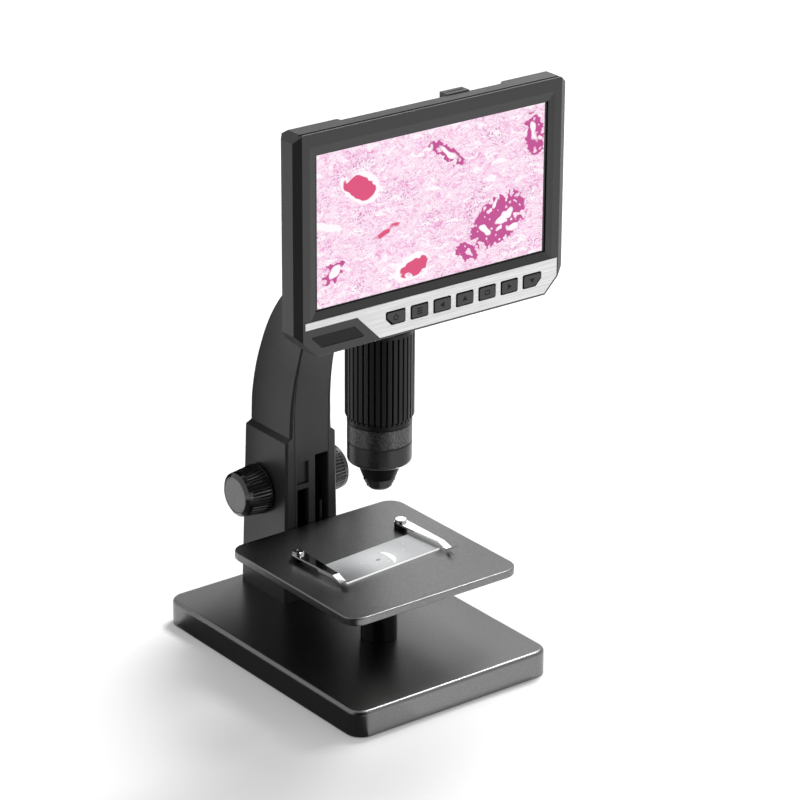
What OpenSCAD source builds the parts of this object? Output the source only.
// Digital microscope with a tilting screen over its lens tube, on a curved arm with a focusing stage.
// Millimetres. The origin is the centre of the base on the table, +Z up, the screen facing -Y.

/* [Base] */
// Width of the base
base_w = 138.5; // [136:0.5:160]
// Depth of the base from front to back
base_d = 189.2; // [188:0.2:220]
// Height of the base's top face above the table
base_top = 16.1; // [16:0.1:22]
// Radius of the base's upright corners
base_corner = 9.8; // [7:0.2:14]
// Rounding of the base's top edge
base_edge = 2.5; // [1.5:0.1:3.5]
// Wall of the base shell
base_wall = 3; // [2.4:0.1:3.6]
// Thickness of the cover under the base
cover_t = 2; // [1.8:0.1:2.4]
// Radius of a rubber foot
foot_r = 8; // [6:0.5:10]
// How far the feet stand below the base shell
foot_stand = 0.5; // [0.4:0.1:1]
// Distance of a foot's centre from the sides of the base
foot_inset = 26; // [24:0.5:32]
// Height of the steel ballast block
ballast_h = 7; // [4:0.5:8]

/* [Lamp] */
// Outer radius of the lamp post
post_r = 10.6; // [9.8:0.1:12]
// Height of the lamp post above the base
post_h = 34; // [28:0.5:36]
// Wall of the lamp post at its mouth
post_wall = 1.1; // [0.9:0.1:1.3]
// Thickness of the lamp's circuit board
board_t = 1.6; // [1.2:0.1:2]

/* [Arm] */
// Distance from the arm's back at its foot to the base's back edge
arm_inset = 7.6; // [6.2:0.2:9.2]
// Distance from the lens axis to the arm's front face
throat = 65.6; // [64:0.2:67]
// Height of the arm's lower block above the base
block_h = 101.9; // [100:0.1:106]
// Half width of the arm at its foot
foot_half = 19.6; // [19:0.1:22]
// Half width of the lower block at its top
block_half = 17.8; // [17.4:0.1:19]
// Depth of the arm at its foot
foot_depth = 43.9; // [43:0.1:46]
// Depth of the lower block at its top
block_depth = 40.9; // [40.6:0.1:42.5]
// Half width of the arm just above the ledge
neck_half = 14.8; // [14:0.1:16]
// Half width of the arm where it meets the collar
nape_half = 12.4; // [11:0.1:13]
// Depth of the arm above the ledge
neck_depth = 39.5; // [38.5:0.1:40.5]
// Height above the base at which the arm starts to bend
bend_rise = 112.8; // [110:0.2:115]
// Radius of the arm's front curve
front_bend = 147.8; // [144:0.2:152]
// Radius of the arm's back curve
back_bend = 118.2; // [117:0.2:119]
// Radius of the tight curve over the lens tube
head_bend = 62; // [58:0.5:66]
// Chamfer along the arm's front edges
arm_chamfer = 1.3; // [0.8:0.1:1.6]
// Half width of the hollow inside the lower block
hollow_half = 12; // [11.9:0.1:12.3]
// Thickness of the block's front wall
front_wall = 3.6; // [3:0.1:3.8]
// Thickness of the rear cover
rear_cover_t = 2.4; // [2:0.1:3]

/* [Focus drive] */
// Height of the knob shaft above the base
shaft_rise = 66.2; // [65:0.1:68]
// Distance of the knob shaft behind the arm's front face
shaft_depth = 25.1; // [24.6:0.1:26]
// Radius of the knob shaft
shaft_r = 3; // [2.5:0.1:3.4]
// Gear module of the rack and pinion
gear_module = 0.8; // [0.8:0.05:0.9]
// Teeth on the pinion
pinion_teeth = 12; // [12:1:13]
// Half width of the rack and the pinion
gear_half = 3; // [2.4:0.1:3.6]
// Travel of the stage above its rest place
travel_up = 30; // [20:0.5:30]
// Travel of the stage below its rest place
travel_down = 6; // [4:0.5:6]
// Radius of a knob at the arm's side
knob_r = 15.1; // [14:0.1:16]
// Radius of a knob at its outer rim
knob_rim_r = 13.2; // [12.6:0.1:13.8]
// Length of a knob
knob_len = 17.4; // [15:0.1:19]
// Distance of a knob's inner end from the arm's middle
knob_in = 19.9; // [19.7:0.1:21]
// Ribs round a knob
knob_ribs = 42; // [30:1:48]

/* [Stage] */
// Width of the stage plate
stage_w = 120; // [116:0.5:124]
// Depth of the stage plate
stage_d = 120.5; // [116:0.5:122]
// Thickness of the stage plate
stage_t = 4.8; // [4.4:0.1:5.2]
// Height of the stage's top face above the base
stage_rise = 48.2; // [48:0.1:49]
// Radius of the stage's corners
stage_corner = 10; // [8:0.5:14]
// Rounding of the stage's edges
stage_edge = 0.8; // [0.5:0.1:1.2]
// Radius of the light hole
light_hole_r = 10.5; // [8:0.5:11]
// Half distance between the two clip pivots
clip_half = 37; // [36:0.5:40]
// Distance of the clip pivots behind the lens axis
clip_back = 28.1; // [27:0.1:29]
// Length of a clip from its pivot to its toe
clip_len = 42.6; // [41:0.2:45]
// Thickness of a clip's spring strip
clip_t = 1; // [0.8:0.1:1.2]
// Length of the glass slide
slide_w = 70; // [70:0.5:76]
// Width of the glass slide
slide_d = 26; // [25:0.5:26]
// Thickness of the glass slide
slide_t = 1; // [0.9:0.1:1.1]

/* [Lens barrel] */
// Height of the barrel's tip above the base
tip_rise = 94.8; // [93:0.1:97]
// Radius of the ribbed grip
grip_r = 19.65; // [19.2:0.05:20.4]
// Length of the ribbed grip
grip_len = 57.8; // [54:0.2:58]
// Grooves round the grip
grip_grooves = 36; // [24:1:40]
// Radius of the grained ring and the plain ring
ring_r = 18.4; // [18.2:0.05:18.6]
// Length of the grained ring
grain_len = 11.5; // [10:0.1:13]
// Length of the plain ring
plain_len = 12.7; // [10:0.1:14]
// Length of the cone under the plain ring
cone_len = 10; // [9:0.1:12]
// Length of the stepped nose
nose_len = 6.6; // [6:0.1:8]
// Outer radius of the camera tube
tube_r = 17; // [16.8:0.05:17.2]
// Outer radius of the collar that holds the tube
collar_r = 24.5; // [24:0.1:24.8]
// Height of the collar
collar_h = 35; // [33:0.5:35.5]

/* [Screen housing] */
// Width of the housing
house_w = 184; // [180:0.5:190]
// Height of the housing
house_h = 125.3; // [125:0.1:128]
// Height of the housing's lower edge above the base
house_rise = 207.7; // [207:0.1:209]
// Distance of the housing's face in front of the lens axis
face_front = 48.7; // [48.4:0.1:50]
// Depth of the front bezel
bezel_depth = 7.6; // [7.4:0.1:8.2]
// Depth of the housing at its side faces
side_depth = 12.8; // [12.4:0.1:13.4]
// Depth of the housing at its raised back
back_depth = 21.7; // [21.5:0.1:22]
// Wall of the housing's shells
shell_wall = 2.2; // [1.8:0.1:2.4]
// Distance from the visible picture to the housing's sides
picture_side = 14.96; // [14.9:0.02:17]
// Distance from the visible picture to the housing's top
picture_above = 13.09; // [13.05:0.02:15.01]
// Distance from the visible picture to the housing's lower edge
picture_below = 26.29; // [26.21:0.02:28.21]
// Distance of the picture behind the housing's face
picture_deep = 1.8; // [1.7:0.05:1.95]
// Thickness of the brushed strip
strip_t = 0.8; // [0.6:0.1:1]
// Furthest that the screen tilts back, in degrees
tilt_back = 30; // [10:5:30]
// Radius of the hinge knuckles
knuckle_r = 5.5; // [5.2:0.1:5.7]
// Radius of the hinge pin
pin_r = 2.5; // [2:0.1:3]

/* [Keys] */
// Bar between two key windows
key_bar = 3.39; // [3.01:0.02:3.69]
// Height of a key's window
window_h = 8.3; // [8:0.1:8.5]
// Gap round a key in its window
key_gap = 0.8; // [0.6:0.05:0.9]
// How far a key is pressed in
key_travel = 0.6; // [0.3:0.05:0.6]

/* [Hidden] */
$fn = 48;
// Overrun of a cut past the face that it opens
over = 0.6;
// Play between a part and the seat that it fits in
fit = 0.1;
// Radial play of a turning fit
running = 0.05;
// Gap between sliding faces of different assemblies
slip = 0.3;
// Reach of the cuts that clip away a whole side
far = 400;

// Base
boss_r = 4;
screw_r = 1.5;
screw_head_r = 2.8;
screw_head_h = 1.2;
foot_t = 1.5;
cover_top = foot_stand + cover_t;
base_roof = base_top - base_wall;
base_screw_inset = base_wall + boss_r + fit;
base_screw_x = base_w / 2 - base_screw_inset - base_corner / 2;
base_screw_y = base_d / 2 - base_screw_inset - base_corner / 2;
power_board_w = 30;
power_board_d = 26;
power_board_lift = 2.6;
socket_w = 9;
socket_h = 3.4;
socket_d = 7.4;
socket_wall = 0.5;
tongue_t = 0.8;
power_board_y = base_d / 2 - base_wall - power_board_d - fit;
power_board_z = cover_top + power_board_lift;

// Lamp
spigot_r = 7.5;
wire_r = 6;
post_top = base_top + post_h;
post_edge = 0.4;
lamp_lens_edge = 2;
lamp_lens_dome = 2;
lamp_seat_deep = 3.5;
lamp_seat = post_top - lamp_seat_deep;
lamp_well_deep = 5;
lamp_shelf = lamp_seat - lamp_well_deep;
lens_seat_r = post_r - post_wall;
lamp_ledge = 0.7;
lamp_well_r = lens_seat_r - lamp_ledge;
led_half = 2.5;
led_h = 1.2;

// Arm
arm_front = base_d / 2 - arm_inset - foot_depth;
lens_y = arm_front - throat;
block_top = base_top + block_h;
ledge_h = 2.6;
ledge_top = block_top + ledge_h;
foot_back = arm_front + foot_depth;
block_back = arm_front + block_depth;
bend_z = base_top + bend_rise;
front_centre = arm_front - front_bend;
back_centre = arm_front + neck_depth - back_bend;
// Angle at which the front curve tightens
tighten = 20;
head_centre = [front_centre, bend_z] + (front_bend - head_bend) * [cos(tighten), sin(tighten)];
collar_top = bend_z + back_bend;
collar_low = collar_top - collar_h;
collar_edge = 1.5;
waist_rise_shares = [0.22, 0.48, 0.72];
waist_half_shares = [0.83, 0.42, 0.08];
seam_half = 12;
seam_w = 0.4;
seam_deep = 0.3;
hollow_rise = 12;
hollow_drop = 8;
hollow_low = base_top + hollow_rise;
hollow_high = block_top - hollow_drop;
rebate = 5;
rebate_side = 1.4;
rear_recess = 0.3;
arm_screw_r = 2;
arm_screw_head_r = 3.6;
arm_screw_head_h = 2.2;
arm_screw_x = 12;
arm_screw_inset = 8;
arm_screw_grip = 9;

// Ballast between the front of the base and the lamp
ballast_side = 23.25;
ballast_ahead = 12;
ballast_behind = 5;
ballast_w = base_w - 2 * ballast_side;
ballast_front = -base_d / 2 + base_wall + ballast_ahead;
ballast_back = lens_y - spigot_r - ballast_behind;
ballast_d = ballast_back - ballast_front;
ballast_y = (ballast_front + ballast_back) / 2;

// Slots in the front of the block, seen from the front
slot_high_rise = 90.7;
slot_high = base_top + slot_high_rise;
slot_left = 2.4;
slot_right = 11.7;
pocket_left = -10.4;
pocket_right = -2.2;
pocket_high_rise = 88.3;
pocket_low_rise = 74.2;
pocket_high = base_top + pocket_high_rise;
pocket_low = base_top + pocket_low_rise;
pocket_deep = 2;
window_high_rise = 71.1;
window_high = base_top + window_high_rise;

// Focus drive
shaft_z = base_top + shaft_rise;
shaft_y = arm_front + shaft_depth;
pressure = 25;
pitch_r = gear_module * pinion_teeth / 2;
tooth_pitch = PI * gear_module;
backlash = 0.14;
tip_r = pitch_r + gear_module * 0.9;
root_r = pitch_r - gear_module * 1.2;
base_circle = pitch_r * cos(pressure);
start_r = max(root_r, base_circle);
flank_steps = 5;
flank = [for (k = [0:flank_steps]) start_r + (tip_r - start_r) * k / flank_steps];
rack_line = shaft_y - pitch_r;
rack_back_t = 3;
bush_r = 5;
bush_flange_r = 6.4;
bush_flange_t = 1;
knob_out = knob_in + knob_len;
knob_bevel = 1.6;
disc_r = 10.4;
disc_t = 1;
knob_groove = 0.9;
knob_band = 0.9;
shaft_end = knob_out - 2 * disc_t;

// Stage and its carriage
stage_top = base_top + stage_rise;
stage_low = stage_top - stage_t;
stage_gap = 0.4;
stage_back = arm_front - stage_gap;
stage_y = stage_back - stage_d / 2;
shelf_t = 3;
carriage_h = 12;
carriage_top = stage_low - shelf_t;
carriage_low = carriage_top - carriage_h;
carriage_plate_y = arm_front + front_wall + slip;
carriage_plate_t = 2.7;
strip_front = carriage_plate_y + carriage_plate_t + slip;
strip_d = 8;
guide_w = 3.4;
guide_half = hollow_half - guide_w;
carriage_half = guide_half - slip;
rack_front = rack_line - gear_module - rack_back_t;
rack_screw_deep = 1.8;
// One gap of the rack is level with the shaft
rack_first = -ceil((travel_up + pitch_r) / tooth_pitch);
rack_last = ceil((travel_down + pitch_r) / tooth_pitch) - 1;
rack_low = shaft_z + (rack_first - 1) * tooth_pitch;
rack_high = shaft_z + (rack_last + 1) * tooth_pitch;
rack_add = gear_module * 0.9;
rack_ded = gear_module * 1.1;
rack_tooth_low = tooth_pitch / 4 - backlash / 2 + rack_ded * tan(pressure);
rack_tooth_high = tooth_pitch / 4 - backlash / 2 - rack_add * tan(pressure);
shelf_half = 26;
shelf_d = 30;
slot_play = 0.8;
slot_low = carriage_low - travel_down - slot_play;
fin_left = 6.8;
fin_w = 1.5;
fin_rise = 59.9;
fin_h = base_top + fin_rise - carriage_top;
fin_d = 2.6;
guide_low = carriage_low - travel_down - slip;
guide_high = carriage_top + travel_up + slip;
stage_screw_r = 1.5;
stage_screw_head_r = 2.8;
stage_screw_head_h = 1.6;

// Clips and slide
clip_lift = 3.3;
clip_low = stage_top + clip_lift;
clip_eye_r = 3.8;
clip_hole_r = 1.66;
clip_toe_w = 4.4;
clip_bend_share = 0.836;
toe_gap = 0.15;
toe_lift = slide_t + toe_gap;
lip_len = 5;
lip_rise = 3;
clip_collar_r = 3.9;
clip_turn_left = 0.8;
clip_turn_right = 3.2;
clip_head_r = 3.45;
clip_head_h = 1.5;
slide_turn = 4.5;
slide_x = 0.7;
slide_back = 1.04;
slide_y = lens_y + slide_back;

// Lens barrel
tip_z = base_top + tip_rise;
cone_low = tip_z + nose_len;
plain_low = cone_low + cone_len;
grain_low = plain_low + plain_len;
grip_low = grain_low + grain_len;
grip_high = grip_low + grip_len;
sleeve_r = 14.6;
sleeve_wall = 1.4;
ring_floor = 1.6;
ring_round = 2.2;
round_steps = 6;
carrier_low = plain_low + ring_floor;
cone_top_r = 13.2;
cone_tip_r = 9.4;
cone_bore_r = 8;
nose_r = 9.1;
nose_shelf_r = 8.2;
nose_mid_r = 7.35;
nose_end_r = 5.9;
nose_bore_r = 5;
grip_skirt = 4.3;
grip_groove_w = 1.15;
grip_groove_deep = 2;
grip_plain = 3.3;
front_lens_rise = 3;
front_lens_z = tip_z + front_lens_rise;
relay_edge = 2.4;
lens_rise = 0.9;
relay_z = carrier_low + sleeve_wall + lens_rise + relay_edge / 2;
tube_wall = 1.6;
tube_stand = 3;
tube_top = collar_top + tube_stand;
cap_r = 22;
cap_h = 7.6;
cap_top = collar_top + cap_h;
sensor_drop = 12;
sensor_low = collar_top - sensor_drop;
sensor_half = 4;
clamp_rise = 16;
clamp_head_r = 6.5;
clamp_head_len = 10;
clamp_thread_r = 2.5;

// Screen housing
face_y = lens_y - face_front;
house_low = base_top + house_rise;
house_high = house_low + house_h;
seam_y = face_y + bezel_depth;
side_y = face_y + side_depth;
back_y = face_y + back_depth;
notch_step = 0.6;
notch_y = seam_y + shell_wall + notch_step;
edge_bevel_w = 4.4;
edge_bevel_d = 2.6;
rim_bevel = 0.4;
top_cut_w = 4.9;
top_cut_h = 4;
low_cut = 13.9;
face_wall = 1.7;
picture_w = house_w - 2 * picture_side;
picture_h = house_h - picture_above - picture_below;
picture_z = house_high - picture_above - picture_h / 2;
lip_w = 1.75;
lip_top_w = 0.7;
slope_w = 3.9;
slope_top_w = 4.95;
slope_d = 1;
groove_in = 1.4;
groove_w = 1.6;
groove_deep = 0.8;
glass_t = 1.2;
glass_side = 4.46;
glass_w = picture_w + 2 * glass_side;
glass_over = 4.8;
glass_under = 7.6;
panel_t = 2.6;
glass_y = face_y + picture_deep;
panel_y = glass_y + glass_t;
panel_back = panel_y + panel_t;
strip_rise = 20.8;
strip_edge = 1.3;
strip_high = house_low + strip_rise;
strip_low = house_low + strip_edge;
strip_thin = 4.2;
strip_inset = 5.6;
strip_half = house_w / 2 - strip_inset;
strip_cut = 8.8;
strip_sink = 0.4;
strip_y = face_y - strip_t + strip_sink;
slant_inset = 39.7;
slant_x = slant_inset - house_w / 2;
plate_inset = 9.9;
plate_w = 28.3;
plate_left = plate_inset - house_w / 2;
plate_right = plate_left + plate_w;
plate_rise = 4.9;
plate_h = 7;
plate_slant = 6.3;
plate_t = 0.5;
plate_sink = 0.25;
window_rise = 7;
window_low = house_low + window_rise;
key_count = 7;
first_key_inset = 66.22;
last_key_inset = 23.94;
first_key_x = first_key_inset - house_w / 2;
key_pitch = (house_w / 2 - last_key_inset - first_key_x) / (key_count - 1);
window_w = key_pitch - key_bar;
end_key_extra = 1.15;
key_cut = 4;
key_corner = 0.7;
key_proud = 0.35;
key_flange = 0.7;
key_flange_t = 1.2;
key_front = strip_y - key_proud;
flange_gap = 0.2;
key_back = face_y + face_wall + flange_gap + key_flange_t;
switch_half = 3;
switch_r = 1.7;
switch_gap = 0.2;
switch_tip = key_back + key_travel + switch_gap;
switch_t = 2.1;
key_board_y = switch_tip + switch_t;
key_board_over = 1.5;
key_post_gap = 10.6;
key_post_z = window_low + window_h / 2;
key_post_x = [key_x(0) - key_post_gap, key_x(key_count - 1) + key_post_gap];
end_inset = 32.7;
end_x = house_w / 2 - end_inset;
end_slant = 4.8;
top_run = 3.5;
top_drop = 5.5;
low_run = 6;
side_run = 8;
notch_drop = 27;
notch_slope = 9;
boss_inset = 5.8;
boss_x = house_w / 2 - boss_inset;
boss_house_r = 2.9;
house_screw_r = 1.2;
house_screw_head_r = 2.2;
house_screw_head_h = 1.5;
house_screw_rises = [30, 74];
house_screw_drop = 9;
house_screw_z = [for (rise = house_screw_rises) house_low + rise, house_high - house_screw_drop];
pcb_side = 37;
pcb_w = house_w - 2 * pcb_side;
pcb_rise = 24;
pcb_low = house_low + pcb_rise;
pcb_drop = 39.3;
pcb_h = house_h - pcb_rise - pcb_drop;
pcb_gap = 2.4;
pcb_y = seam_y + pcb_gap;
pcb_post_r = 2.5;
pcb_post_inset = 4;
chip_w = 16;
chip_t = 1.4;
battery_side = 16;
battery_end = 10;
battery_w = pcb_w - 2 * battery_side;
battery_h = pcb_h - 2 * battery_end;
battery_t = 6;
block_left = 16;
block_w = 15.2;
block_high = 0.6;
block_d = 6.8;
block_drop = 18;
card_w = 11.4;
card_t = 1;
card_deep = 12;

// Tilting hinge
hinge_back = 8.5;
hinge_rise = 15;
hinge_y = back_y + hinge_back;
hinge_z = collar_top + hinge_rise;
mount_t = 2.6;
mount_half = 22;
mount_drop = 13;
mount_low = hinge_z - mount_drop;
mount_h = 42;
knuckle_half = 12.7;
lug_in = knuckle_half + slip;
lug_w = 5;
lug_out = lug_in + lug_w;
lug_foot_d = 15;
pin_stand = 1;
pin_half = lug_out + pin_stand;

// Box between two opposite corners
module block(low, high) {
  translate(low) cube(high - low);
}

// Outline in y and z, carried from one place along x to another
module span_x(x0, x1) {
  translate([x0, 0, 0]) rotate([90, 0, 90]) linear_extrude(x1 - x0) children();
}

// Outline in x and z, carried from one place along y to another
module span_y(y0, y1) {
  translate([0, y1, 0]) rotate([90, 0, 0]) linear_extrude(y1 - y0) children();
}

// Outline in x and y, carried from one height to another
module span_z(z0, z1) {
  translate([0, 0, z0]) linear_extrude(z1 - z0) children();
}

// Round bars along each direction
module bar_x(r, x0, x1) {
  translate([x0, 0, 0]) rotate([0, 90, 0]) cylinder(r = r, h = x1 - x0);
}

module bar_y(r, y0, y1) {
  translate([0, y0, 0]) rotate([-90, 0, 0]) cylinder(r = r, h = y1 - y0);
}

module bar_z(r, z0, z1) {
  translate([0, 0, z0]) cylinder(r = r, h = z1 - z0);
}

module both_sides() {
  children();
  mirror([1, 0, 0]) children();
}

module on_lens_axis() {
  translate([0, lens_y, 0]) children();
}

// Rectangle with round corners, centred
module round_rect(w, d, r) {
  square([w - 2 * r, d], center = true);
  square([w, d - 2 * r], center = true);
  for (x = [-1, 1], y = [-1, 1])
    translate([x * (w / 2 - r), y * (d / 2 - r)]) circle(r);
}

// Section across a slab with rounded edges, centred in x and standing on zero
module slab_section(w, h, top_edge, low_edge) {
  translate([-w / 2, low_edge]) square([w, h - top_edge - low_edge]);
  translate([-w / 2 + top_edge, h / 2]) square([w - 2 * top_edge, h / 2]);
  translate([-w / 2 + low_edge, 0]) square([w - 2 * low_edge, h / 2]);
  for (side = [-1, 1]) {
    translate([side * (w / 2 - top_edge), h - top_edge]) circle(top_edge);
    if (low_edge > 0) translate([side * (w / 2 - low_edge), low_edge]) circle(low_edge);
  }
}

// Slab with round corners and rounded edges, centred and standing on zero
module soft_slab(w, d, h, corner, top_edge, low_edge) {
  span_x(corner - w / 2, w / 2 - corner) slab_section(d, h, top_edge, low_edge);
  span_y(corner - d / 2, d / 2 - corner) slab_section(w, h, top_edge, low_edge);
  for (x = [-1, 1], y = [-1, 1])
    translate([x * (w / 2 - corner), y * (d / 2 - corner), 0])
      rotate_extrude() intersection() {
        slab_section(2 * corner, h, top_edge, low_edge);
        square([corner, h]);
      }
}

// Ring round the lens axis with rounded edges
module soft_ring(r, bore_r, z0, z1, edge) {
  translate([0, 0, z0]) rotate_extrude()
    translate([(r + bore_r) / 2, 0]) slab_section(r - bore_r, z1 - z0, edge, edge);
}

module tube_z(r, bore_r, z0, z1) {
  difference() {
    bar_z(r, z0, z1);
    bar_z(bore_r, z0 - over, z1 + over);
  }
}

// Base
module at_base_screws() {
  for (x = [-1, 1], y = [-1, 1]) translate([x * base_screw_x, y * base_screw_y, 0]) children();
}

module at_arm_screws() {
  for (x = [-1, 1], y = [arm_front + arm_screw_inset, foot_back - arm_screw_inset])
    translate([x * arm_screw_x, y, 0]) children();
}

module at_feet() {
  for (x = [-1, 1], y = [-1, 1])
    translate([x * (base_w / 2 - foot_inset), y * (base_d / 2 - foot_inset), 0]) children();
}

module base_plate() color("#1d1d1f") difference() {
  union() {
    difference() {
      translate([0, 0, foot_stand])
        soft_slab(base_w, base_d, base_top - foot_stand, base_corner, base_edge, 0);
      span_z(-over, base_roof)
        round_rect(base_w - 2 * base_wall, base_d - 2 * base_wall, base_corner - base_wall);
    }
    at_base_screws() bar_z(boss_r, cover_top, base_roof + over);
  }
  on_lens_axis() bar_z(spigot_r + fit, base_roof - over, base_top + over);
  at_base_screws() bar_z(screw_r, cover_top - over, base_roof - over);
  at_arm_screws() bar_z(arm_screw_r + fit, base_roof - over, base_top + over);
  block([-socket_w / 2 - fit, base_d / 2 - base_wall - over, power_board_z + board_t - fit],
        [socket_w / 2 + fit, base_d / 2 + over, power_board_z + board_t + socket_h + fit]);
}

module base_cover() color("#151516") difference() {
  union() {
    span_z(foot_stand, cover_top)
      round_rect(base_w - 2 * base_wall - 2 * fit, base_d - 2 * base_wall - 2 * fit,
                 base_corner - base_wall - fit);
    for (x = [-1, 1], y = [boss_r, power_board_d - boss_r])
      translate([x * (power_board_w / 2 - boss_r), power_board_y + y, 0])
        bar_z(screw_r, cover_top - over, power_board_z);
  }
  at_feet() bar_z(foot_r + fit, -over, foot_t);
  at_base_screws() {
    bar_z(screw_head_r + fit, -over, foot_stand + screw_head_h);
    bar_z(screw_r + fit, 0, cover_top + over);
  }
}

module base_feet() color("#0e0e0e") at_feet() bar_z(foot_r, 0, foot_t);

module base_screws() color("#8f9194") at_base_screws() {
  bar_z(screw_head_r, foot_stand, foot_stand + screw_head_h);
  bar_z(screw_r - fit, foot_stand + screw_head_h, base_roof - 2 * over);
}

module ballast() color("#5b5d60")
  translate([0, ballast_y, cover_top])
    soft_slab(ballast_w, ballast_d, ballast_h, boss_r, screw_r, 0);

// Hollow metal shell of a socket whose mouth faces +y
module socket_shell() {
  difference() {
    block([-socket_w / 2, 0, 0], [socket_w / 2, socket_d, socket_h]);
    block([-socket_w / 2 + socket_wall, socket_wall, socket_wall],
          [socket_w / 2 - socket_wall, socket_d + over, socket_h - socket_wall]);
  }
  block([-socket_w / 4, 0, socket_h / 2 - tongue_t / 2],
        [socket_w / 4, socket_d - socket_wall, socket_h / 2 + tongue_t / 2]);
}

module power_board() color("#1f5a38") {
  difference() {
    block([-power_board_w / 2, power_board_y, power_board_z],
          [power_board_w / 2, power_board_y + power_board_d, power_board_z + board_t]);
    block([-power_board_w / 2 - over, power_board_y - over, power_board_z - over],
          [-power_board_w / 2 + screw_r, power_board_y + screw_r, power_board_z + board_t + over]);
  }
  translate([0, base_d / 2 - rear_recess - socket_d, power_board_z + board_t]) socket_shell();
  block([-chip_w / 4, power_board_y + boss_r, power_board_z + board_t],
        [chip_w / 4, power_board_y + boss_r + chip_w / 2, power_board_z + board_t + chip_t]);
}

// Lamp post
module lamp_post() color("#161617") on_lens_axis() difference() {
  union() {
    soft_ring(post_r, wire_r, base_top, post_top, post_edge);
    bar_z(spigot_r, base_roof, base_top + over);
  }
  bar_z(wire_r, base_roof - over, post_top + over);
  bar_z(lamp_well_r, lamp_shelf, post_top + over);
  bar_z(lens_seat_r, lamp_seat, post_top + over);
}

module lamp_board() color("#e8e6de") on_lens_axis() {
  bar_z(lamp_well_r - fit, lamp_shelf, lamp_shelf + board_t);
  block([-led_half, -led_half, lamp_shelf + board_t],
        [led_half, led_half, lamp_shelf + board_t + led_h]);
}

module lamp_lens() color("#e9eef0") on_lens_axis() translate([0, 0, lamp_seat]) {
  bar_z(lens_seat_r - fit, 0, lamp_lens_edge);
  dome_r = (pow(lamp_well_r, 2) + pow(lamp_lens_dome, 2)) / (2 * lamp_lens_dome);
  intersection() {
    translate([0, 0, lamp_lens_edge + lamp_lens_dome - dome_r]) sphere(dome_r);
    bar_z(lamp_well_r, lamp_lens_edge / 2, lamp_lens_edge + 2 * lamp_lens_dome);
  }
}

// Place of the block's back face at a height
function back_at(z) = foot_back + (block_back - foot_back) * (z - base_top) / block_h;

// Half width of the arm's sides, from the foot to the collar
function arm_sides() = [
  [foot_half, base_top],
  [block_half, block_top],
  [neck_half, ledge_top],
  for (i = [0:len(waist_rise_shares) - 1])
    [nape_half + (neck_half - nape_half) * waist_half_shares[i],
     ledge_top + (bend_z + head_bend - ledge_top) * waist_rise_shares[i]],
  [nape_half, collar_top + over]
];

module arm_front_outline() {
  sides = arm_sides();
  polygon(concat(sides, [for (i = [len(sides) - 1:-1:0]) [-sides[i][0], sides[i][1]]]));
}

// Region above the line where the front curve tightens
module above_tighten() {
  translate([front_centre, bend_z]) rotate(tighten) translate([-far, 0]) square([2 * far, far]);
}

module throat_outline() {
  difference() {
    union() {
      translate([front_centre, bend_z]) circle(front_bend, $fn = 180);
      translate([arm_front - far, block_top - over]) square([far, bend_z - block_top + over]);
    }
    above_tighten();
  }
  translate(head_centre) circle(head_bend, $fn = 120);
}

module arm_side_outline() {
  polygon([[arm_front, base_top], [foot_back, base_top], [block_back, block_top],
           [arm_front + neck_depth, ledge_top], [arm_front, ledge_top]]);
  difference() {
    intersection() {
      union() {
        translate([back_centre, bend_z]) circle(back_bend, $fn = 180);
        translate([arm_front, block_top]) square([neck_depth, bend_z - block_top]);
      }
      translate([lens_y, block_top]) square([far, far]);
    }
    throat_outline();
  }
}

// Cuts that chamfer the front edges of the right-hand side
module block_chamfer() {
  lean = atan((foot_half - block_half) / block_h);
  translate([foot_half, arm_front, base_top]) rotate([0, -lean, 0]) rotate([0, 0, -45])
    translate([-arm_chamfer / sqrt(2), -far / 2, -over]) cube([far, far, block_h + ledge_h]);
}

module neck_chamfer() {
  lean = atan((neck_half - nape_half) / (bend_z + head_bend - ledge_top));
  ring = [[neck_half - arm_chamfer - over, front_bend - over], [neck_half + over, front_bend - over],
          [neck_half + over, front_bend + arm_chamfer + over]];
  translate([0, front_centre, bend_z]) rotate([0, -lean, 0]) rotate([0, 90, 0])
    intersection() {
      rotate_extrude($fn = 180) polygon([for (p = ring) [p[1], p[0]]]);
      span_z(-far, far) polygon([[0, 0], [0, far], [-far * tan(tighten), far]]);
    }
  translate([0, 0, ledge_top]) rotate([0, -lean, 0])
    span_z(-over, bend_z - ledge_top + over)
      translate([0, front_centre]) polygon([for (p = ring) p]);
}

module arm_hollow() {
  block([-hollow_half, arm_front + front_wall, hollow_low], [hollow_half, far, hollow_high]);
  span_x(-hollow_half - rebate_side, hollow_half + rebate_side) polygon([
    [back_at(hollow_low - rebate) - rear_cover_t - rear_recess, hollow_low - rebate],
    [far, hollow_low - rebate],
    [far, hollow_high + rebate],
    [back_at(hollow_high + rebate) - rear_cover_t - rear_recess, hollow_high + rebate]
  ]);
  block([-gear_half - slot_play, rack_front - slip, hollow_high - over],
        [gear_half + slot_play, rack_line + rack_add + slot_play, rack_high + travel_up + slot_play]);
}

module front_slots() {
  wall_back = arm_front + front_wall + over;
  block([slot_left, arm_front - over, slot_low], [slot_right, wall_back, slot_high]);
  block([pocket_left, arm_front - over, slot_low], [pocket_right, wall_back, window_high]);
  block([pocket_left, arm_front - over, pocket_low], [pocket_right, arm_front + pocket_deep, pocket_high]);
}

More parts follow.
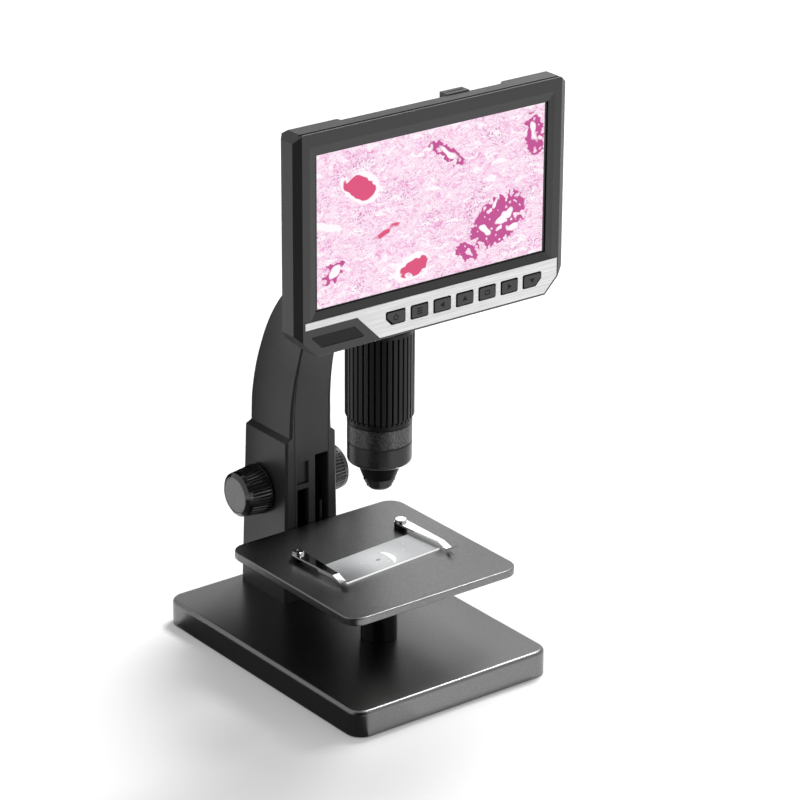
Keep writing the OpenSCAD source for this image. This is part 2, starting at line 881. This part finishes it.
module panel_seams() {
  for (side = [-1, 1]) {
    x = side * seam_half;
    block([x - seam_w / 2, arm_front - over, base_top - over],
          [x + seam_w / 2, arm_front + seam_deep, bend_z]);
    intersection() {
      translate([0, front_centre, bend_z]) difference() {
        bar_x(front_bend + seam_deep, x - seam_w / 2, x + seam_w / 2);
        bar_x(front_bend - over, x - seam_w, x + seam_w);
      }
      block([-far, arm_front - far, bend_z], [far, far, bend_z + front_bend * sin(tighten)]);
    }
  }
}

module at_rear_cover_screws() {
  for (z = [hollow_low - rebate / 2, hollow_high + rebate / 2])
    translate([0, back_at(z), z]) children();
}

module arm_column() color("#2b2b2d") difference() {
  union() {
    intersection() {
      span_x(-far, far) arm_side_outline();
      span_y(lens_y, far) arm_front_outline();
    }
    on_lens_axis() soft_ring(collar_r, tube_r + fit, collar_low, collar_top, collar_edge);
  }
  both_sides() {
    block_chamfer();
    neck_chamfer();
  }
  arm_hollow();
  front_slots();
  panel_seams();
  on_lens_axis() bar_z(tube_r + fit, collar_low - far / 4, collar_top + over);
  at_arm_screws() bar_z(arm_screw_r, base_top - over, base_top + arm_screw_grip + over);
  at_rear_cover_screws() bar_y(house_screw_r, -rear_cover_t - 3 * rebate, over);
  translate([0, shaft_y, shaft_z]) bar_x(bush_r + fit, -far, far);
  translate([0, lens_y, collar_low + clamp_rise])
    bar_x(clamp_thread_r + fit, tube_r - over, collar_r + over);
}

module arm_rear_cover() color("#242426") difference() {
  z0 = hollow_low - rebate + fit;
  z1 = hollow_high + rebate - fit;
  span_x(-hollow_half - rebate_side + fit, hollow_half + rebate_side - fit) polygon([
    [back_at(z0) - rear_cover_t - rear_recess, z0], [back_at(z0) - rear_recess, z0],
    [back_at(z1) - rear_recess, z1], [back_at(z1) - rear_cover_t - rear_recess, z1]
  ]);
  at_rear_cover_screws() {
    bar_y(house_screw_r + fit, -far, over);
    bar_y(house_screw_head_r + fit, -rear_recess - house_screw_head_h, over);
  }
}

module arm_screws() color("#8f9194") {
  at_arm_screws() {
    bar_z(arm_screw_head_r, base_roof - arm_screw_head_h, base_roof);
    bar_z(arm_screw_r - fit, base_roof, base_top + arm_screw_grip);
  }
  at_rear_cover_screws() {
    bar_y(house_screw_head_r, -rear_recess - house_screw_head_h, -rear_recess);
    bar_y(house_screw_r - fit, -rear_cover_t - 2 * rebate, -rear_recess - house_screw_head_h);
  }
}

module guide_strips() color("#b08d4c") both_sides()
  block([guide_half, strip_front, guide_low], [hollow_half, strip_front + strip_d, guide_high]);

module shaft_bushes() color("#b08d4c") translate([0, shaft_y, shaft_z]) both_sides() difference() {
  union() {
    bar_x(bush_r, hollow_half - bush_flange_t, block_half);
    bar_x(bush_flange_r, hollow_half - bush_flange_t, hollow_half);
  }
  bar_x(shaft_r + running, 0, far);
}

// Stage
module at_stage_screws() {
  for (x = [-1, 1], y = [shelf_d / 4, shelf_d * 3 / 4])
    translate([x * shelf_half * 2 / 3, stage_back - y, 0]) children();
}

module at_rack_screws() {
  for (z = [-1, 1]) translate([0, 0, (carriage_low + carriage_top) / 2 + z * shelf_t]) children();
}

module stage_carriage() color("#202022") difference() {
  plate_back = carriage_plate_y + carriage_plate_t;
  union() {
    block([-shelf_half, stage_back - shelf_d, carriage_top], [shelf_half, stage_back, stage_low]);
    block([slot_left + slot_play, stage_back - shelf_d / 2, carriage_low],
          [slot_right - slot_play, plate_back, carriage_top]);
    block([pocket_left + slot_play, stage_back - shelf_d / 2, carriage_low],
          [pocket_right - slot_play, plate_back, carriage_top]);
    block([-slot_right, carriage_plate_y, carriage_low], [slot_right, plate_back, carriage_top]);
    block([-carriage_half, plate_back - over, carriage_low], [carriage_half, rack_front, carriage_top]);
    block([fin_left, carriage_plate_y - fin_d, carriage_top - over],
          [fin_left + fin_w, plate_back, carriage_top + fin_h]);
    block([slot_left + slot_play, carriage_plate_y - fin_d, carriage_top - over],
          [slot_right - slot_play, plate_back, carriage_top]);
  }
  at_stage_screws() bar_z(stage_screw_r + fit, carriage_top - over, stage_low + over);
  at_rack_screws() {
    bar_y(stage_screw_head_r + fit, carriage_plate_y - over, carriage_plate_y + stage_screw_head_h);
    bar_y(stage_screw_r + fit, carriage_plate_y - over, rack_front + over);
  }
}

module rack_outline() {
  translate([rack_front, rack_low]) square([rack_line - rack_ded - rack_front, rack_high - rack_low]);
  for (i = [rack_first:rack_last]) {
    z = shaft_z + (i + 1 / 2) * tooth_pitch;
    polygon([
      [rack_line - rack_ded - backlash, z - rack_tooth_low], [rack_line - rack_ded, z - rack_tooth_low],
      [rack_line + rack_add, z - rack_tooth_high], [rack_line + rack_add, z + rack_tooth_high],
      [rack_line - rack_ded, z + rack_tooth_low], [rack_line - rack_ded - backlash, z + rack_tooth_low]
    ]);
  }
}

module rack() color("#b08d4c") difference() {
  span_x(-gear_half, gear_half) rack_outline();
  at_rack_screws() bar_y(stage_screw_r, rack_front - over, rack_front + rack_screw_deep);
}

module stage_plate() color("#29292b") difference() {
  translate([0, stage_y, stage_low])
    soft_slab(stage_w, stage_d, stage_t, stage_corner, stage_edge, stage_edge);
  on_lens_axis() bar_z(light_hole_r, stage_low - over, stage_top + over);
  at_stage_screws() bar_z(stage_screw_r, stage_low - over, stage_top - stage_screw_head_h);
  both_sides() translate([clip_half, lens_y + clip_back, 0])
    bar_z(clip_hole_r - 2 * running, stage_low + over, stage_top + over);
}

module stage_screws() color("#8f9194") {
  at_stage_screws() {
    bar_z(stage_screw_head_r, carriage_top - stage_screw_head_h, carriage_top);
    bar_z(stage_screw_r - fit, carriage_top, stage_low + stage_screw_head_h);
  }
  at_rack_screws() {
    bar_y(stage_screw_head_r, carriage_plate_y, carriage_plate_y + stage_screw_head_h);
    bar_y(stage_screw_r - fit, carriage_plate_y + stage_screw_head_h, rack_front + rack_screw_deep - fit);
  }
}

module specimen_slide() color("#dfe3e4")
  translate([slide_x, slide_y, stage_top]) rotate([0, 0, slide_turn])
    translate([-slide_w / 2, -slide_d / 2, 0]) cube([slide_w, slide_d, slide_t]);

module at_clips() {
  both_sides() translate([clip_half, lens_y + clip_back, 0]) children();
}

module clip_posts() color("#101011") at_clips()
  tube_z(clip_collar_r, clip_hole_r, stage_top, clip_low - running);

module clip_screws() color("#d8dadc") at_clips() {
  head_low = clip_low + clip_t + running;
  head_high = clip_low + clip_t + clip_head_h;
  bar_z(clip_hole_r - 2 * running, stage_low + over, head_low);
  soft_ring(clip_head_r, clip_hole_r / 2, head_low, head_high, running * 4);
  bar_z(clip_hole_r, head_low, head_high - running);
}

// Spring clip with its pivot at zero, pointing to -y
module clip_strip() difference() {
  bend = clip_len * clip_bend_share;
  toe_z = stage_top + toe_lift;
  path = [[clip_eye_r, clip_low], [-bend, clip_low], [-clip_len, toe_z],
          [-clip_len - lip_len, toe_z + lip_rise]];
  intersection() {
    span_x(-clip_eye_r, clip_eye_r)
      polygon(concat(path, [for (i = [len(path) - 1:-1:0]) path[i] + [0, clip_t]]));
    union() {
      bar_z(clip_eye_r, 0, far);
      span_z(0, far) polygon([
        [-clip_eye_r, 0], [-clip_toe_w / 2, -bend], [-clip_toe_w / 2, -clip_len - lip_len],
        [clip_toe_w / 2, -clip_len - lip_len], [clip_toe_w / 2, -bend], [clip_eye_r, 0]
      ]);
    }
  }
  bar_z(clip_hole_r, 0, far);
}

module clip_left() color("#d8dadc")
  translate([-clip_half, lens_y + clip_back, 0]) rotate([0, 0, clip_turn_left]) clip_strip();

module clip_right() color("#d8dadc")
  translate([clip_half, lens_y + clip_back, 0]) rotate([0, 0, clip_turn_right]) clip_strip();

// Focus drive
module focus_shaft() color("#b9bcc0")
  translate([0, shaft_y, shaft_z]) bar_x(shaft_r, -shaft_end, shaft_end);

function involute_angle(r) = r <= base_circle ? 0
  : sqrt(pow(r / base_circle, 2) - 1) * 180 / PI - acos(base_circle / r);
function flank_angle(r) = 90 / pinion_teeth - backlash / pitch_r * 45 / PI
  + involute_angle(pitch_r) - involute_angle(r);

function polar(r, a) = [r * cos(a), r * sin(a)];

module pinion_outline() {
  polygon([for (i = [0:pinion_teeth - 1]) let (a = i * 360 / pinion_teeth) each concat(
    [polar(root_r, a - flank_angle(start_r))],
    [for (k = [0:flank_steps]) polar(flank[k], a - flank_angle(flank[k]))],
    [for (k = [flank_steps:-1:0]) polar(flank[k], a + flank_angle(flank[k]))],
    [polar(root_r, a + flank_angle(start_r))]
  )]);
}

// A tooth of the pinion points at the rack
module pinion() color("#b08d4c") translate([0, shaft_y, shaft_z]) difference() {
  span_x(-gear_half, gear_half) rotate(180) pinion_outline();
  bar_x(shaft_r + running, -far, far);
}

// Knob on the right-hand side, with its axis along x
module knob() {
  lean = atan((knob_r - knob_rim_r) / knob_len);
  mid_r = (knob_r + knob_rim_r) / 2;
  groove_len = knob_len - 2 * knob_bevel - 2 * knob_band;
  groove_mid = knob_in + knob_band + groove_len / 2;
  difference() {
    rotate([0, 90, 0]) rotate_extrude() polygon([
      [0, knob_in], [knob_r - over, knob_in], [knob_r, knob_in + over],
      [knob_rim_r, knob_out - knob_bevel], [disc_r + over, knob_out], [0, knob_out]
    ]);
    for (i = [0:knob_ribs - 1])
      rotate([i * 360 / knob_ribs, 0, 0]) translate([groove_mid, 0, mid_r]) rotate([0, lean, 0])
        rotate([45, 0, 0]) cube([groove_len, knob_groove, knob_groove], center = true);
    bar_x(disc_r, knob_out - disc_t, knob_out + over);
    bar_x(shaft_r + running, 0, shaft_end);
  }
}

module knob_right() color("#18181a") translate([0, shaft_y, shaft_z]) knob();

module knob_left() color("#18181a") translate([0, shaft_y, shaft_z]) mirror([1, 0, 0]) knob();

module knob_discs() color("#77797c") translate([0, shaft_y, shaft_z]) both_sides()
  bar_x(disc_r - fit, knob_out - disc_t, knob_out - fit);

// Lens barrel
module camera_tube() color("#141415") on_lens_axis() tube_z(tube_r, tube_r - tube_wall, grip_low, tube_top);

module lens_carrier() color("#1b1b1c") on_lens_axis() difference() {
  bar_z(sleeve_r, carrier_low, grip_low + plain_len);
  bar_z(sleeve_r - sleeve_wall, carrier_low + sleeve_wall, far);
  bar_z(cone_bore_r, 0, far);
}

module ribbed_grip() color("#1a1a1b") on_lens_axis() difference() {
  rotate_extrude() polygon([
    [tube_r + slip, grip_low + slip], [ring_r + fit, grip_low + slip],
    [ring_r + fit, grip_low + grip_skirt - over], [grip_r, grip_low + grip_skirt + over],
    [grip_r, grip_high - over], [grip_r - over, grip_high], [tube_r + slip, grip_high]
  ]);
  groove_low = grip_low + grip_plain;
  groove_high = grip_high - grip_plain;
  for (i = [0:grip_grooves - 1])
    rotate([0, 0, (i + 1 / 2) * 360 / grip_grooves]) span_x(grip_r - grip_groove_deep, grip_r + over) {
      translate([-grip_groove_w / 2, groove_low]) square([grip_groove_w, groove_high - groove_low]);
      for (z = [groove_low, groove_high]) translate([0, z]) circle(grip_groove_w / 2);
    }
}

module grained_ring() color("#3a3a3c") on_lens_axis()
  soft_ring(ring_r, sleeve_r + fit, grain_low + fit, grip_low - fit, slip);

// The plain ring's lower edge is rounded, and its floor carries the cone
module plain_ring() color("#1d1d1f") on_lens_axis() difference() {
  rotate_extrude() polygon(concat(
    [[cone_bore_r, grain_low], [cone_bore_r, plain_low]],
    [for (i = [0:round_steps]) let (a = i * 90 / round_steps)
      [ring_r - ring_round * (1 - sin(a)), plain_low + ring_round * (1 - cos(a))]],
    [[ring_r, grain_low - over], [ring_r - over, grain_low]]
  ));
  bar_z(sleeve_r + fit, carrier_low, far);
}

module barrel_cone() color("#0f0f10") on_lens_axis() difference() {
  rotate_extrude() polygon([
    [0, cone_low], [cone_tip_r, cone_low], [cone_top_r, plain_low], [0, plain_low]
  ]);
  bar_z(cone_bore_r, 0, far);
}

module stepped_nose() color("#0d0d0e") on_lens_axis() difference() {
  rotate_extrude() polygon([
    [nose_bore_r, tip_z], [nose_end_r, tip_z], [nose_mid_r, tip_z + nose_len / 5],
    [nose_mid_r, tip_z + nose_len / 2], [nose_shelf_r, tip_z + nose_len / 2],
    [nose_shelf_r, tip_z + nose_len * 0.76], [nose_r, tip_z + nose_len * 0.76],
    [nose_r, cone_low], [nose_bore_r, cone_low]
  ]);
  bar_z(nose_bore_r, 0, far);
}

function lens_bulge(r, rise) = (pow(r, 2) + pow(rise, 2)) / (2 * rise);

// Lens with two bulging faces, centred on z
module glass_lens(r, z, edge, rise) {
  ball = lens_bulge(r, rise);
  translate([0, 0, z]) rotate_extrude() intersection() {
    translate([0, edge / 2 + rise - ball]) circle(ball, $fn = 240);
    translate([0, ball - edge / 2 - rise]) circle(ball, $fn = 240);
    translate([0, -edge]) square([r, 2 * edge]);
  }
}

module lenses() color("#cfe0ea") on_lens_axis() {
  glass_lens(nose_bore_r - fit, front_lens_z, relay_edge, lens_rise);
  glass_lens(sleeve_r - sleeve_wall - fit, relay_z, relay_edge, lens_rise);
}

module sensor_board() color("#1f5a38") on_lens_axis() {
  bar_z(tube_r - tube_wall - fit, sensor_low, sensor_low + board_t);
  block([-sensor_half, -sensor_half, sensor_low - chip_t], [sensor_half, sensor_half, sensor_low]);
}

module lug_outline() {
  translate([hinge_y, hinge_z]) circle(knuckle_r);
  polygon([[hinge_y - knuckle_r, hinge_z], [lens_y - cap_r + over * 3, cap_top - over],
           [lens_y - cap_r + over * 3 + lug_foot_d, cap_top - over],
           [hinge_y + knuckle_r * cos(45), hinge_z + knuckle_r * sin(45)], [hinge_y, hinge_z]]);
}

module tube_cap() color("#232325") difference() {
  union() {
    on_lens_axis() soft_ring(cap_r, over, collar_top, cap_top, collar_edge);
    on_lens_axis() bar_z(2 * over, collar_top + over, cap_top);
    both_sides() span_x(lug_in, lug_out) lug_outline();
  }
  on_lens_axis() bar_z(tube_r + fit, collar_top - over, tube_top + fit);
  translate([0, hinge_y, hinge_z]) bar_x(pin_r + fit, -far, far);
}

module clamp_screw() color("#1b1b1c") translate([0, lens_y, collar_low + clamp_rise]) {
  head_in = collar_r + over;
  bar_x(clamp_thread_r, tube_r + fit, head_in + over);
  difference() {
    bar_x(clamp_head_r, head_in, head_in + clamp_head_len);
    for (i = [0:knob_ribs / 2 - 1])
      rotate([i * 720 / knob_ribs, 0, 0]) translate([head_in + clamp_head_len / 2, 0, clamp_head_r])
        rotate([45, 0, 0]) cube([clamp_head_len - 2 * knob_band, knob_groove, knob_groove], center = true);
  }
}

module hinge_pin() color("#b9bcc0") translate([0, hinge_y, hinge_z]) bar_x(pin_r, -pin_half, pin_half);

// Screen housing
module at_mount_screws() {
  for (x = [-1, 1], z = [mount_low + boss_r, mount_low + mount_h - boss_r])
    translate([x * (mount_half - boss_r), back_y, z]) children();
}

module screen_mount() color("#232325") difference() {
  plate_back = back_y + mount_t;
  union() {
    block([-mount_half, back_y, mount_low], [mount_half, plate_back, mount_low + mount_h]);
    translate([0, hinge_y, hinge_z]) bar_x(knuckle_r, -knuckle_half, knuckle_half);
    block([-knuckle_half, back_y, hinge_z - knuckle_r / 2], [knuckle_half, hinge_y, hinge_z + knuckle_r / 2]);
  }
  translate([0, hinge_y, hinge_z]) bar_x(pin_r + running, -far, far);
  at_mount_screws() {
    bar_y(screw_r + fit, -over, far);
    bar_y(house_screw_head_r + fit, mount_t - house_screw_head_h, far);
  }
}

// Front outline of the housing with its cut corners
module house_outline() {
  x = house_w / 2;
  polygon([
    [-x, house_low + low_cut], [-x + low_cut, house_low], [x - low_cut, house_low], [x, house_low + low_cut],
    [x, house_high - top_cut_h], [x - top_cut_w, house_high], [top_cut_w - x, house_high],
    [-x, house_high - top_cut_h]
  ]);
}

// Housing as one block: cut corners, bevelled sides, thin bevels above and below, raised back
module house_body() {
  x = house_w / 2;
  intersection() {
    span_y(face_y, back_y) house_outline();
    span_z(house_low, house_high) polygon([
      [-x, face_y + edge_bevel_d], [-x + edge_bevel_w, face_y], [x - edge_bevel_w, face_y],
      [x, face_y + edge_bevel_d], [x, side_y], [x - side_run, back_y], [side_run - x, back_y], [-x, side_y]
    ]);
    span_x(-x, x) polygon([
      [face_y, house_low + rim_bevel], [face_y + rim_bevel, house_low], [side_y, house_low],
      [back_y, house_low + low_run], [back_y, house_high - top_drop - top_run / 2],
      [seam_y + top_run + shell_wall, house_high], [face_y + rim_bevel, house_high],
      [face_y, house_high - rim_bevel]
    ]);
  }
}

// Space over the middle of the back, between the raised ends, grown by a wall
module house_notch(grow) {
  side = end_x + grow * 1.5;
  floor_z = house_high - notch_drop - grow;
  intersection() {
    span_z(0, far * 2) polygon([
      [end_slant - side, notch_y - grow], [side - end_slant, notch_y - grow],
      [side, back_y], [side, far], [-side, far], [-side, back_y]
    ]);
    span_y(seam_y, far) polygon([
      [-side, house_high + over], [-side, house_high - notch_drop / 3],
      [notch_slope - side, floor_z - notch_slope], [side - notch_slope, floor_z - notch_slope],
      [side, house_high - notch_drop / 3], [side, house_high + over]
    ]);
    span_x(-far, far) polygon([
      [notch_y - grow, house_high + over], [notch_y - grow, floor_z],
      [back_y + over - grow, floor_z - notch_slope], [back_y + far, floor_z - notch_slope],
      [back_y + far, house_high + over]
    ]);
  }
}

module at_housing_screws() {
  for (side = [-1, 1], z = house_screw_z) translate([side * boss_x, 0, z]) children();
}

module at_pcb_posts() {
  for (x = [-1, 1], z = [pcb_low + pcb_post_inset, pcb_low + pcb_h - pcb_post_inset])
    translate([x * (pcb_w / 2 - pcb_post_inset), 0, z]) children();
}

module rear_hollow() {
  x = house_w / 2 - shell_wall - fit;
  inner_back = back_y - shell_wall;
  difference() {
    intersection() {
      block([-x, seam_y - over, house_low + shell_wall + fit],
            [x, inner_back, house_high - shell_wall - fit]);
      span_y(seam_y - over, back_y) translate([0, shell_wall / 2]) intersection() {
        house_outline();
        translate([0, -shell_wall]) house_outline();
      }
      span_z(house_low, house_high) polygon([
        [-x, seam_y - over], [x, seam_y - over], [x, side_y - shell_wall / 2],
        [x - side_run, inner_back], [side_run - x, inner_back], [-x, side_y - shell_wall / 2]
      ]);
      span_x(-x, x) polygon([
        [seam_y - over, house_low], [side_y - shell_wall, house_low + shell_wall],
        [inner_back, house_low + low_run + shell_wall],
        [inner_back, house_high - top_drop - top_run / 2 - shell_wall],
        [seam_y + top_run, house_high - shell_wall], [seam_y - over, house_high]
      ]);
    }
    house_notch(shell_wall);
  }
}

module rear_shell() color("#2a2a2c") difference() {
  union() {
    difference() {
      intersection() {
        house_body();
        block([-far, seam_y, 0], [far, far, far]);
      }
      house_notch(0);
      rear_hollow();
    }
    intersection() {
      house_body();
      at_housing_screws() bar_y(boss_house_r, seam_y, back_y);
    }
    at_pcb_posts() bar_y(pcb_post_r, pcb_y + board_t, back_y - shell_wall + over);
  }
  at_housing_screws() {
    bar_y(house_screw_r + fit, seam_y - over, back_y);
    bar_y(house_screw_head_r + fit, seam_y + shell_wall, back_y + over);
  }
  at_mount_screws() bar_y(screw_r, -shell_wall - over, over);
}

function key_x(i) = first_key_x + i * key_pitch;

// Outline of a key or its window; the end keys are wider and have a cut corner
module key_outline(i, grow) {
  left = -window_w / 2 - (i == 0 ? end_key_extra : 0) - grow;
  right = window_w / 2 + (i == key_count - 1 ? end_key_extra : 0) + grow;
  low = -grow;
  high = window_h + grow;
  cut_left = i == 0 ? key_cut : key_corner;
  cut_right = i == key_count - 1 ? key_cut : key_corner;
  translate([key_x(i), window_low]) polygon([
    [left, low + cut_left], [left + cut_left, low], [right - cut_right, low], [right, low + cut_right],
    [right, high - key_corner], [right - key_corner, high],
    [left + key_corner, high], [left, high - key_corner]
  ]);
}

module strip_outline(grow) {
  slant = strip_high - strip_thin - strip_low;
  polygon([
    [-strip_half - grow, strip_high - strip_thin - grow], [slant_x - grow, strip_high - strip_thin - grow],
    [slant_x + slant - grow, strip_low - grow], [strip_half - strip_cut, strip_low - grow],
    [strip_half + grow, strip_low + strip_cut - grow], [strip_half + grow, strip_high + grow],
    [-strip_half - grow, strip_high + grow]
  ]);
}

module plate_outline(grow) {
  corner = plate_t;
  low = house_low + plate_rise - grow;
  high = low + plate_h + 2 * grow;
  left = plate_left - grow;
  right = plate_right + grow;
  polygon([
    [left + corner, high], [left, high - corner], [left + plate_slant, low + corner],
    [left + plate_slant + corner, low], [right + plate_slant - corner, low],
    [right + plate_slant, low + corner], [right + corner, high - corner], [right, high]
  ]);
}

// Picture window with mitred slopes
module picture_window() {
  half = picture_w / 2 + lip_w;
  top = picture_z + picture_h / 2 + lip_top_w;
  low = picture_z - picture_h / 2 - lip_w / 2;
  block([-half, face_y - over, low], [half, seam_y + over, top]);
  share = over / slope_d;
  intersection() {
    span_z(0, far * 2) polygon([
      [-half - slope_w * (1 + share), face_y - over], [half + slope_w * (1 + share), face_y - over],
      [half, face_y + slope_d], [-half, face_y + slope_d]
    ]);
    span_x(-far, far) polygon([
      [face_y - over, strip_high - (low - strip_high) * share], [face_y + slope_d, low],
      [face_y + slope_d, top], [face_y - over, top + slope_top_w * (1 + share)]
    ]);
  }
}

module front_bezel() color("#3c3c3e") difference() {
  union() {
    difference() {
      intersection() {
        house_body();
        block([-far, -far, 0], [far, seam_y, far]);
      }
      span_y(face_y + face_wall, seam_y + over) intersection() {
        translate([0, shell_wall * 1.2]) house_outline();
        translate([0, -shell_wall * 1.2]) house_outline();
        translate([-house_w / 2 + shell_wall * 1.2, 0]) square([house_w - shell_wall * 2.4, far * 2]);
      }
    }
    intersection() {
      house_body();
      at_housing_screws() bar_y(boss_house_r, face_y + over, seam_y);
    }
    for (x = key_post_x) translate([x, 0, key_post_z]) bar_y(screw_r, face_y + over, key_board_y);
  }
  picture_window();
  block([-far, face_y + groove_in, house_high - groove_deep], [far, face_y + groove_in + groove_w, far]);
  span_y(face_y - over, strip_y + strip_t) strip_outline(0);
  span_y(face_y - over, face_y + plate_t + plate_sink) plate_outline(fit);
  for (i = [0:key_count - 1]) span_y(face_y - over, face_y + face_wall + over) key_outline(i, 0);
  at_housing_screws() bar_y(house_screw_r, face_y + face_wall, seam_y + over);
}

module picture_glass() color("#f0c9e0")
  block([-glass_w / 2, glass_y, picture_z - picture_h / 2 - glass_under],
        [glass_w / 2, panel_y, picture_z + picture_h / 2 + glass_over]);

module picture_panel() color("#a9abad")
  block([-glass_w / 2, panel_y, picture_z - picture_h / 2 - glass_under],
        [glass_w / 2, panel_back, picture_z + picture_h / 2 + glass_over]);

module fascia_strip() color("#c9cacc") difference() {
  span_y(strip_y, strip_y + strip_t) strip_outline(-fit);
  for (i = [0:key_count - 1]) span_y(strip_y - over, strip_y + strip_t + over) key_outline(i, 0);
}

module blank_plate() color("#262628")
  span_y(face_y + plate_sink, face_y + plate_sink + plate_t) plate_outline(0);

// Keys and the boards behind them
module key_board() color("#1f5a38") {
  block([key_post_x[0] - key_board_over, key_board_y, window_low - over],
        [key_post_x[1] + key_board_over, key_board_y + board_t, window_low + window_h + over]);
  for (i = [0:key_count - 1]) translate([key_x(i), 0, key_post_z]) {
    block([-switch_half, key_board_y - switch_t + over, -switch_half],
          [switch_half, key_board_y, switch_half]);
    bar_y(switch_r, switch_tip, key_board_y);
  }
}

module key(i) color("#4a4a4c") {
  span_y(key_front, key_back) key_outline(i, -key_gap);
  span_y(key_back - key_flange_t, key_back) key_outline(i, key_flange);
}

module key_1() key(0);
module key_2() key(1);
module key_3() key(2);
module key_4() key(3);
module key_5() key(4);
module key_6() key(5);
module key_7() key(6);

module main_board() color("#1f5a38") {
  block([-pcb_w / 2, pcb_y, pcb_low], [pcb_w / 2, pcb_y + board_t, pcb_low + pcb_h]);
  for (x = [-1, 0, 1]) translate([x * chip_w * 3 / 2, 0, pcb_low + pcb_h / 2])
    block([-chip_w / 2, pcb_y + board_t, -chip_w / 2], [chip_w / 2, pcb_y + board_t + chip_t, chip_w / 2]);
}

module battery_pack() color("#4d6fa8")
  translate([0, back_y - shell_wall, pcb_low + pcb_h / 2]) rotate([90, 0, 0])
    linear_extrude(battery_t) round_rect(battery_w, battery_h, boss_r);

module card_block() color("#3a3a3c") difference() {
  block([block_left, notch_y, house_high - block_drop],
        [block_left + block_w, notch_y + block_d, house_high + block_high]);
  translate([block_left + block_w / 2, notch_y + block_d / 2, 0])
    block([-card_w / 2, -card_t / 2, house_high - card_deep], [card_w / 2, card_t / 2, house_high + far]);
}

module housing_screws() color("#8f9194") {
  at_housing_screws() {
    bar_y(house_screw_head_r, seam_y + shell_wall, seam_y + shell_wall + house_screw_head_h);
    bar_y(house_screw_r - fit, face_y + face_wall + over, seam_y + shell_wall);
  }
  at_mount_screws() {
    bar_y(house_screw_head_r, mount_t - house_screw_head_h, mount_t);
    bar_y(screw_r - fit, -shell_wall, mount_t - house_screw_head_h);
  }
}

base_plate();
base_cover();
base_feet();
base_screws();
ballast();
power_board();
lamp_post();
lamp_board();
lamp_lens();
arm_column();
arm_rear_cover();
arm_screws();
guide_strips();
shaft_bushes();
stage_carriage();
rack();
stage_plate();
stage_screws();
specimen_slide();
clip_posts();
clip_screws();
clip_left();
clip_right();
focus_shaft();
pinion();
knob_left();
knob_right();
knob_discs();
camera_tube();
lens_carrier();
ribbed_grip();
grained_ring();
plain_ring();
barrel_cone();
stepped_nose();
lenses();
sensor_board();
tube_cap();
clamp_screw();
hinge_pin();
screen_mount();
rear_shell();
front_bezel();
picture_glass();
picture_panel();
fascia_strip();
blank_plate();
key_board();
main_board();
battery_pack();
card_block();
housing_screws();
key_1();
key_2();
key_3();
key_4();
key_5();
key_6();
key_7();
